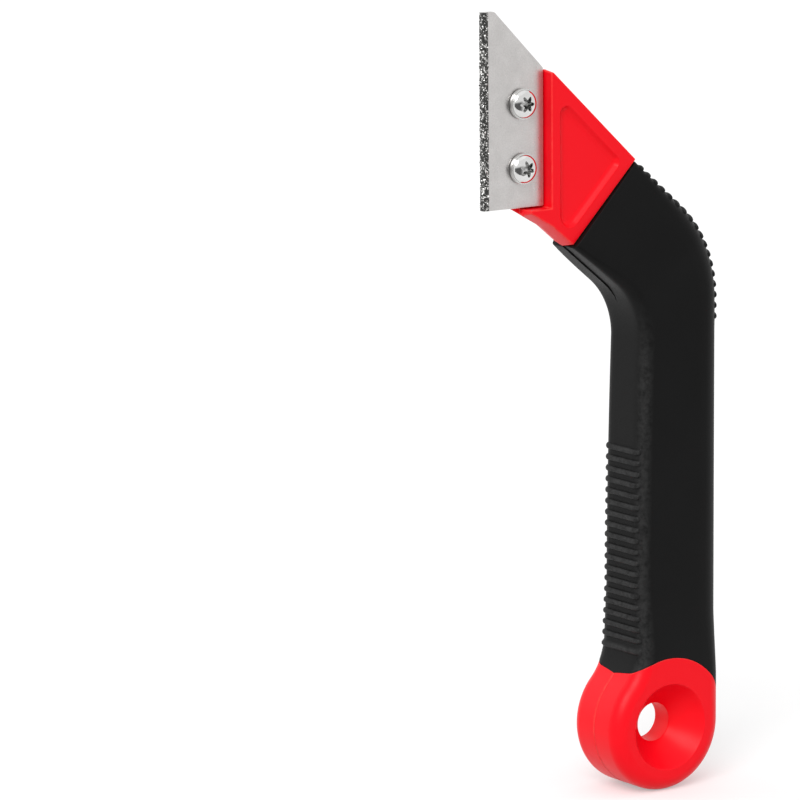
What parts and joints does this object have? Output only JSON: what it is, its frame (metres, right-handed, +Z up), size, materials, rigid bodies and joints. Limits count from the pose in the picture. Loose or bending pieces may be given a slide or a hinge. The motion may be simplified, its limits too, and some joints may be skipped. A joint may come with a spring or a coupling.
{
  "type": "grout removal tool",
  "caption": "Hand tool with a bent moulded handle, a soft ribbed grip, an eye ring to hang it by and a screwed-on steel blade edged with carbide grit.",
  "frame": {"origin": "bottom centre of the bounding box: on the floor under the eye ring's lowest point, half way between the grit edge and the ribs on the back, in the handle's middle plane", "axes": "+Z up the handle from the eye ring to the blade's tip, +X from the finger side to the back of the hand, +Y from the screw heads to the nuts"},
  "size_m": [0.0716, 0.0206, 0.21],
  "materials": {
    "red_handle_plastic": "bright red moulded polypropylene, satin gloss, with a faint parting line",
    "black_grip_rubber": "black thermoplastic rubber with a fine matt grain",
    "blade_steel": "flat rolled steel with a fine matt mottle",
    "brazed_carbide_grit": "crushed tungsten carbide grains set in braze, rough and glittering",
    "plated_screw_steel": "bright nickel plated steel",
    "zinc_nut_steel": "bright zinc plated steel"
  },
  "bodies": {
    "handle": {"handle_core": "red_handle_plastic", "grip_sleeve": "black_grip_rubber", "hex_nut_upper": "zinc_nut_steel", "hex_nut_lower": "zinc_nut_steel"},
    "blade": {"blade_plate": "blade_steel", "carbide_grit": "brazed_carbide_grit"},
    "upper_screw": {"blade_screw_upper": "plated_screw_steel"},
    "lower_screw": {"blade_screw_lower": "plated_screw_steel"}
  },
  "joints": [
    {"name": "upper_screw_turn", "type": "hinge", "parent": "blade", "child": "upper_screw", "pos_m": [-0.02349, -0.0011, 0.18588], "axis": [0, -1, 0], "range_deg": [0, 2263]},
    {"name": "blade_release", "type": "slide", "parent": "handle", "child": "blade", "axis": [0, -1, 0], "range_m": [0, 0.0044]},
    {"name": "lower_screw_turn", "type": "hinge", "parent": "blade", "child": "lower_screw", "pos_m": [-0.02349, -0.0011, 0.16918], "axis": [0, -1, 0], "range_deg": [0, 2263]}
  ],
  "couplings": [
    {"joint": "upper_screw_turn", "follows": "blade_release", "rad_per_m": 8976},
    {"joint": "lower_screw_turn", "follows": "blade_release", "rad_per_m": 8976}
  ]
}
